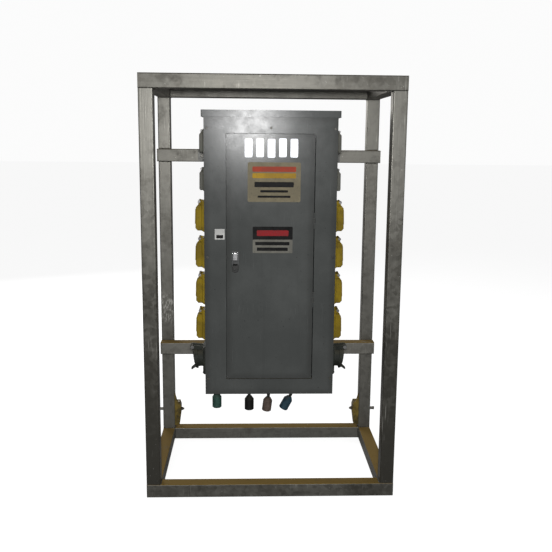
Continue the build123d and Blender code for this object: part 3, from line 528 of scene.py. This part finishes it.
label_cream = vinyl("label_cream", (0.22, 0.19, 0.12, 1), 0.5)
label_red = vinyl("label_red", (0.38, 0.048, 0.020, 1), 0.4, shift=(1.0, 0, 0))
notice_red = vinyl("notice_red", (0.27, 0.016, 0.020, 1), 0.4, shift=(5.0, 0, 0))
label_gold = vinyl("label_gold", (0.42, 0.25, 0.015, 1), 0.4, shift=(2.0, 0, 0))
label_black = vinyl("label_black", (0.004, 0.004, 0.004, 1), 0.15, 0.5, shift=(3.0, 0, 0))
label_pale = vinyl("label_pale", (0.18, 0.175, 0.15, 1), 0.5, shift=(4.0, 0, 0))

OWNER_LABEL = (-0.088, 0.114, 1.072, 1.222)
stick_on("owner_label", *OWNER_LABEL, label_cream, "door", 0, 0.006)
bands = [
    ("owner_band_red", -0.070, 0.096, 1.186, 1.206, label_red),
    ("owner_band_gold", -0.070, 0.096, 1.162, 1.181, label_gold),
    ("owner_bar_1", -0.062, 0.088, 1.128, 1.148, label_black),
    ("owner_bar_2", -0.040, 0.066, 1.108, 1.117, label_black),
    ("owner_bar_3", -0.050, 0.076, 1.088, 1.096, label_black),
]
for name, left, right, bottom, top, finish in bands:
    stick_on(name, left, right, bottom, top, finish, "door", VINYL, 0.003)

NOTICE_LEFT, NOTICE_RIGHT = -0.068, 0.086
NOTICE_BAR = 0.013
stick_on("notice_header", NOTICE_LEFT, NOTICE_RIGHT, 0.927, 0.977, label_black, "door", 0, 0.003)
stick_on("notice_stripe", -0.052, 0.070, 0.941, 0.963, notice_red, "door", VINYL, 0.004)
stick_on("notice_plate", NOTICE_LEFT, NOTICE_RIGHT, 0.8745, 0.9265, label_pale, "door", 0, 0.003)
for number, (left, right, bottom) in enumerate(((-0.058, 0.074, 0.905), (-0.052, 0.068, 0.883)), 1):
    name = f"notice_bar_{number}"
    stick_on(name, left, right, bottom, bottom + NOTICE_BAR, label_black, "door", VINYL, 0.002)

sticker_white = vinyl("sticker_white", (0.66, 0.66, 0.64, 1), 0.3)
stick_on("inspection_sticker", -0.214, -0.176, 0.926, 0.967, sticker_white, "frame", 0, 0.002)
stick_on("inspection_mark", -0.208, -0.182, 0.931, 0.944, label_black, "frame", VINYL, 0.001)


# Latch ----------------------------------------------------------------------------------------------
# A grey die-cast bezel with a bright plated lift paddle, and a steel tongue behind the door. The finger
# scoop under the paddle and the bezel below it are painted near black: painted shade in the recess.

latch_grey = moulding(
    "latch_grey", (0.034, 0.036, 0.036, 1), (0.062, 0.066, 0.066, 1), 0.02, 0.36, 0.3, gloss=0.4
)
tree = latch_grey.node_tree
shader = tree.nodes["Principled BSDF"]
casting = shader.inputs["Base Color"].links[0].from_socket
coordinates = add_node(tree, "TexCoord").outputs["Object"]
_, depth, height = add_node(tree, "SeparateXYZ", {0: coordinates}).outputs
# Painted shade: darker deeper behind the cover face and low on the bezel, where the finger scoop lies in
# shadow.
painted_recess_shade = ramp_up(tree, depth, cover_face + 0.002, cover_face + 0.009)
latch_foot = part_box("latch_housing")[0][2]
painted_recess_shade = combine(tree, "MAXIMUM", painted_recess_shade, ramp_up(tree, height, latch_foot + 0.034, latch_foot + 0.024))
painted_recess_shade = combine(tree, "MULTIPLY", painted_recess_shade, 0.9)
tree.links.new(tint(tree, painted_recess_shade, casting, (0.006, 0.006, 0.005, 1)), shader.inputs["Base Color"])
dress(latch_grey, "latch_housing")

bright, tree, shader = new_finish("bright_plate", 0.16, 0.95)
stains = use_effect(tree, staining, Patch_size=0.012)
colour = tint(tree, stains["Patches"], (0.62, 0.62, 0.63, 1), (0.9, 0.9, 0.91, 1))
tree.links.new(colour, shader.inputs["Base Color"])
rough = combine(tree, "ADD", 0.08, combine(tree, "MULTIPLY", stains["Specks"], 0.25))
tree.links.new(rough, shader.inputs["Roughness"])
dress(bright, "latch_handle")
dress(plate_steel, "latch_tongue")


# Inside the box -------------------------------------------------------------------------------------
# Grey moulded base with aluminium bars, black breakers with rounded edges, and their handles with a
# white line across each that shows which way it is thrown.

moulded_grey = moulding("moulded_grey", (0.11, 0.11, 0.107, 1), (0.18, 0.18, 0.174, 1), 0.08, 0.55, 0.5)
dress(moulded_grey, "interior_base", "duplex_outlets")
breaker_black = moulding("breaker_black", (0.013, 0.013, 0.014, 1), (0.03, 0.03, 0.031, 1), 0.05, 0.42, 0.5)
dress(breaker_black, "breaker_cases", "main_breaker_toggle")
toggles = [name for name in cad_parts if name.startswith("breaker_toggle_")]
dress(breaker_black, *toggles)

bar_metal, tree, shader = new_finish("bar_metal", 0.35, 0.95)
coordinates = add_node(tree, "TexCoord").outputs["Object"]
grain = add_node(tree, "Mapping", {"Vector": coordinates, "Scale": (900.0, 900.0, 12.0)}).outputs[0]
grain = noise(tree, grain, 1.0, 3.0)
colour = tint(tree, grain, (0.55, 0.55, 0.56, 1), (0.8, 0.8, 0.81, 1))
tree.links.new(colour, shader.inputs["Base Color"])
roughen(tree, shader, grain, 0.0002, 0.4)
dress(bar_metal, "bus_bars")

handle_white = vinyl("handle_white", (0.7, 0.7, 0.68, 1), 0.3, 0.45)


def handle_line(name, size, lean, tip, body):
    """A thin white line on the tip of a breaker handle, turned to the handle's lean."""
    mesh = bmesh.new()
    bmesh.ops.create_cube(mesh, size=1.0)
    bmesh.ops.bevel(
        mesh, geom=mesh.edges[:], offset=0.12, affect="EDGES", segments=2, profile=0.5, material=-1
    )
    bmesh.ops.scale(mesh, verts=mesh.verts, vec=size)
    bmesh.ops.transform(mesh, verts=mesh.verts, matrix=lean)
    bmesh.ops.translate(mesh, verts=mesh.verts, vec=tip)
    return finish_mesh(name, mesh, handle_white, body, smooth=False)


HANDLE_HINGE_Y = 0.010
BRANCH_LEAN, BRANCH_REACH, BRANCH_HUB = math.radians(17.5), 0.023, 0.045
BRANCH_LINE = (0.0014, 0.0006, 0.0074)
for side, word in ((-1, "left"), (1, "right")):
    for number in range(1, 6):
        toggle = f"breaker_toggle_{word}_{number}"
        low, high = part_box(toggle)
        tip_x = side * BRANCH_HUB - side * BRANCH_REACH * math.sin(BRANCH_LEAN)
        tip = Vector((tip_x, HANDLE_HINGE_Y - BRANCH_REACH * math.cos(BRANCH_LEAN), (low[2] + high[2]) / 2))
        lean = Matrix.Rotation(-side * BRANCH_LEAN, 4, "Z")
        handle_line(f"handle_line_{word}_{number}", BRANCH_LINE, lean, tip, toggle)

MAIN_LEAN, MAIN_REACH = math.radians(20), 0.025
MAIN_LINE = (0.020, 0.0006, 0.0022)
main_hub = Vector((0, HANDLE_HINGE_Y, 1.185))
tip = main_hub + Vector((0, -math.cos(MAIN_LEAN), math.sin(MAIN_LEAN))) * MAIN_REACH
lean = Matrix.Rotation(-MAIN_LEAN, 4, "X")
handle_line("handle_line_main", MAIN_LINE, lean, tip, "main_breaker_toggle")


# Duplex outlets -------------------------------------------------------------------------------------
# Cast covers in grey paint, screwed to the wall over a gasket, each with a sprung flip lid.

cast_grey = enamel(
    "cast_grey", (0.085, 0.085, 0.072, 1), (0.165, 0.162, 0.135, 1), (4.0, 2.0, 7.0), roughness=0.5
)
duplex_lids = [f"duplex_lid_{side}_{number}" for side in ("left", "right") for number in (1, 2)]
dress(cast_grey, "duplex_frames", *duplex_lids)


def set_screw(mesh, place, side, radius=0.0032):
    """A slotted oval-head screw in an outlet's frame, its head towards the side."""
    head = bmesh.ops.create_uvsphere(mesh, u_segments=14, v_segments=7, radius=radius)["verts"]
    bmesh.ops.scale(mesh, verts=head, vec=(0.5, 1.0, 1.0))
    bmesh.ops.translate(mesh, verts=head, vec=place)
    slot = bmesh.ops.create_cube(mesh, size=radius)["verts"]
    bmesh.ops.scale(mesh, verts=slot, vec=(0.25, 1.7, 0.22))
    bmesh.ops.translate(mesh, verts=slot, vec=place + Vector((side * radius * 0.42, 0, 0)))


OUTLET_Y = 0.085
WALL = 0.254
TOP_OUTLET, OUTLET_PITCH = 1.300, 0.146
OUTLET_ROWS = ("duplex",) * 2 + ("locking",) * 4 + ("large",)
# For each kind, how far its screws are across and up from the middle, how far their heads stand out
# from the wall, and how far their middle is below the row's
SCREW_PLACES = {
    "duplex": (0.054, 0.038, 0.0082, 0),
    "locking": (0.035, 0.054, 0.0152, 0),
    "large": (0.046, 0.049, 0.0132, 0.001),
}
frame_screws = bmesh.new()
for side in (-1, 1):
    for row, kind in enumerate(OUTLET_ROWS):
        across, up, proud, drop = SCREW_PLACES[kind]
        middle_z = TOP_OUTLET - row * OUTLET_PITCH - drop
        for turn in (-1, 1):
            for lift in (-1,) if kind == "locking" else (-1, 1):
                middle = Vector((side * (WALL + proud), OUTLET_Y + turn * across, middle_z + lift * up))
                set_screw(frame_screws, middle, side)
finish_mesh("frame_screws", frame_screws, plate_steel, "frame")


# Locking outlets ------------------------------------------------------------------------------------
# Yellow moulded covers over round locking outlets. Each lid is a deep cap with three ribs down its face
# and a steel spring coiled round each end of its hinge pin.

yellow = moulding(
    "yellow_moulding", (0.17, 0.115, 0.005, 1), (0.29, 0.20, 0.006, 1), 0.06, 0.68, 0.35,
    (0.15, 0.11, 0.03, 1),
)
locking_lids = [f"locking_lid_{side}_{number}" for side in ("left", "right") for number in range(1, 5)]
dress(yellow, "locking_frames", *locking_lids)
dress(breaker_black, "locking_outlets")

RIB_SIZE, RIB_PITCH, RIB_DROP, RIB_SLOPE = (0.0036, 0.0034, 0.058), 0.018, 0.003, 0.028
LID_FACE = 0.0394  # how far the lid's face stands out from the wall
for side, word in ((-1, "left"), (1, "right")):
    for number in range(1, 5):
        middle_z = TOP_OUTLET - (number + 1) * OUTLET_PITCH
        slope = Matrix.Rotation(side * -RIB_SLOPE, 3, "Y")
        ribs = bmesh.new()
        for turn in (-1, 0, 1):
            place = (side * (WALL + LID_FACE), OUTLET_Y + turn * RIB_PITCH, middle_z - RIB_DROP)
            made = bmesh.ops.create_cube(ribs, size=1.0)["verts"]
            bmesh.ops.scale(ribs, verts=made, vec=RIB_SIZE)
            bmesh.ops.rotate(ribs, verts=made, cent=(0, 0, 0), matrix=slope)
            bmesh.ops.translate(ribs, verts=made, vec=place)
        bmesh.ops.bevel(
            ribs, geom=ribs.edges[:], offset=0.0008, affect="EDGES", segments=2, profile=0.5, material=-1
        )
        lid = f"locking_lid_{word}_{number}"
        finish_mesh(f"lid_ribs_{word}_{number}", ribs, yellow, lid, smooth=False)


SPRING_RADIUS, SPRING_WIRE, SPRING_TURNS, SPRING_PITCH = 0.0054, 0.0012, 2, 0.0013
SPRING_STEPS = 14  # to a turn


def coil_spring(mesh, middle):
    """A close coil about the Y axis."""
    place = Matrix.Translation(middle + Vector((SPRING_RADIUS, 0, 0)))
    ring = bmesh.ops.create_circle(mesh, segments=6, radius=SPRING_WIRE / 2, matrix=place)["verts"]
    bmesh.ops.spin(
        mesh, geom=ring + list({edge for vert in ring for edge in vert.link_edges}), cent=middle,
        axis=(0, 1, 0), dvec=(0, SPRING_PITCH / SPRING_STEPS, 0), angle=2 * math.pi * SPRING_TURNS,
        steps=SPRING_STEPS * SPRING_TURNS, use_duplicate=False,
    )


HINGE_OUT, HINGE_UP = 0.024, 0.057  # the lid's hinge pin from the wall and from the outlet's middle
SPRING_AWAY, SPRING_SHIFT = 0.0329, 0.0012
springs = bmesh.new()
for side in (-1, 1):
    for row in range(2, 6):
        for end in (-1, 1):
            spring_y = OUTLET_Y + end * SPRING_AWAY - SPRING_SHIFT
            hinge_z = TOP_OUTLET - row * OUTLET_PITCH + HINGE_UP
            coil_spring(springs, Vector((side * (WALL + HINGE_OUT), spring_y, hinge_z)))
finish_mesh("lid_springs", springs, plate_steel, "frame")


# Large outlets --------------------------------------------------------------------------------------
# Black rubber-covered housings with a round lid on a heavy hinge. They are chalky with handling.

black_rubber = moulding(
    "black_rubber", (0.012, 0.014, 0.011, 1), (0.030, 0.034, 0.027, 1), 0.05, 0.62, 0.7,
    (0.09, 0.085, 0.065, 1),
)
dress(black_rubber, "large_frames", "large_hoods", "large_lid_left_1", "large_lid_right_1")
dress(breaker_black, "large_outlets")


# Cam leads ------------------------------------------------------------------------------------------
# Short rubber leads out of nylon glands, ending in brass pins with slip-on rubber boots in the colour
# of their phase. The boots are faded and have tool marks and dust on their shoulders.

dress(breaker_black, "cam_glands")
dress(black_rubber, "cam_tails")
brass, tree, shader = new_finish("contact_brass", 0.3, 0.95)
stains = use_effect(tree, staining, Patch_size=0.01)
colour = tint(tree, stains["Patches"], (0.35, 0.22, 0.09, 1), (0.72, 0.52, 0.24, 1))
tree.links.new(colour, shader.inputs["Base Color"])
roughen(tree, shader, stains["Tooth"], 0.0002, 0.3)
dress(brass, "cam_contacts")

BOOT_COLOURS = {
    "green": ((0.013, 0.040, 0.031, 1), (0.040, 0.095, 0.076, 1)),
    "black": ((0.003, 0.003, 0.003, 1), (0.008, 0.008, 0.007, 1)),
    "brown": ((0.070, 0.050, 0.040, 1), (0.135, 0.100, 0.082, 1)),
    "blue": ((0.008, 0.026, 0.040, 1), (0.024, 0.060, 0.085, 1)),
}
for name, (deep, fair) in BOOT_COLOURS.items():
    dress(moulding(f"boot_{name}", deep, fair, 0.03, 0.6, 0.35), f"cam_boot_{name}")


# Studio ---------------------------------------------------------------------------------------------
# A plain pale floor that fades into a pale backdrop, one small soft lamp just over the camera, and two
# broad ones that give the sides and the back their shape.

floor_mesh = bmesh.new()
bmesh.ops.create_grid(floor_mesh, x_segments=1, y_segments=1, size=40.0)
floor_data = bpy.data.meshes.new("floor")
floor_mesh.to_mesh(floor_data)
floor_mesh.free()
floor = bpy.data.objects.new("floor", floor_data)
bpy.context.scene.collection.objects.link(floor)
floor_finish, tree, shader = new_finish("floor_pale", 0.7)
soft = noise(tree, add_node(tree, "TexCoord").outputs["Object"], 0.6, 3.0)
colour = tint(tree, soft, (0.36, 0.36, 0.36, 1), (0.40, 0.40, 0.40, 1))
tree.links.new(colour, shader.inputs["Base Color"])
shader.inputs["Emission Color"].default_value = (1, 1, 1, 1)
seen = add_node(tree, "LightPath").outputs["Is Camera Ray"]
tree.links.new(combine(tree, "MULTIPLY", seen, 0.86), shader.inputs["Emission Strength"])
floor_data.materials.append(floor_finish)


def soft_light(name, place, aim, width, power):
    lamp = bpy.data.lights.new(name, "AREA")
    lamp.shape = "SQUARE"
    lamp.size = width
    lamp.energy = power
    made = bpy.data.objects.new(name, lamp)
    made.location = place
    made.rotation_euler = (Vector(aim) - Vector(place)).to_track_quat("-Z", "Y").to_euler()
    bpy.context.scene.collection.objects.link(made)


soft_light("key_light", (-0.07, -2.97, 1.43), (0, 0, 1.15), 0.22, 60)
soft_light("side_light", (3.4, 0.9, 2.4), (0, 0, 0.8), 1.8, 30)
soft_light("back_light", (-1.8, 3.6, 2.2), (0, 0, 0.8), 1.8, 75)

world = bpy.data.worlds.new("studio")
bpy.context.scene.world = world
world.use_nodes = True
sky = world.node_tree
background = sky.nodes["Background"]
background.inputs["Color"].default_value = (1, 1, 1, 1)
seen = add_node(sky, "LightPath").outputs["Is Camera Ray"]
strength = add_node(sky, "MapRange", {"Value": seen, "To Min": 0.17, "To Max": 0.97}).outputs[0]
sky.links.new(strength, background.inputs["Strength"])
bpy.context.scene.view_settings.view_transform = "Standard"

# Camera: 1.3 m above the floor, just left of the middle, looking slightly down and to the right
CAMERA_PLACE = (-0.0852, -2.9106, 1.3063)
TURN, TILT, ROLL = math.radians(-2.154), math.radians(10.26), math.radians(0.52)
ahead = Vector((-math.sin(TURN), math.cos(TURN), 0))
across = Vector((math.cos(TURN), math.sin(TURN), 0))
view_line = ahead * math.cos(TILT) - Vector((0, 0, 1)) * math.sin(TILT)
upright = ahead * math.sin(TILT) + Vector((0, 0, 1)) * math.cos(TILT)
right = across * math.cos(ROLL) + upright * math.sin(ROLL)
top = upright * math.cos(ROLL) - across * math.sin(ROLL)
lens = bpy.data.cameras.new("camera")
lens.sensor_width = 36.0
lens.lens = 49.09
camera = bpy.data.objects.new("camera", lens)
placing = Matrix((right, top, -view_line)).transposed().to_4x4()
camera.matrix_world = Matrix.Translation(CAMERA_PLACE) @ placing
bpy.context.scene.collection.objects.link(camera)
bpy.context.scene.camera = camera
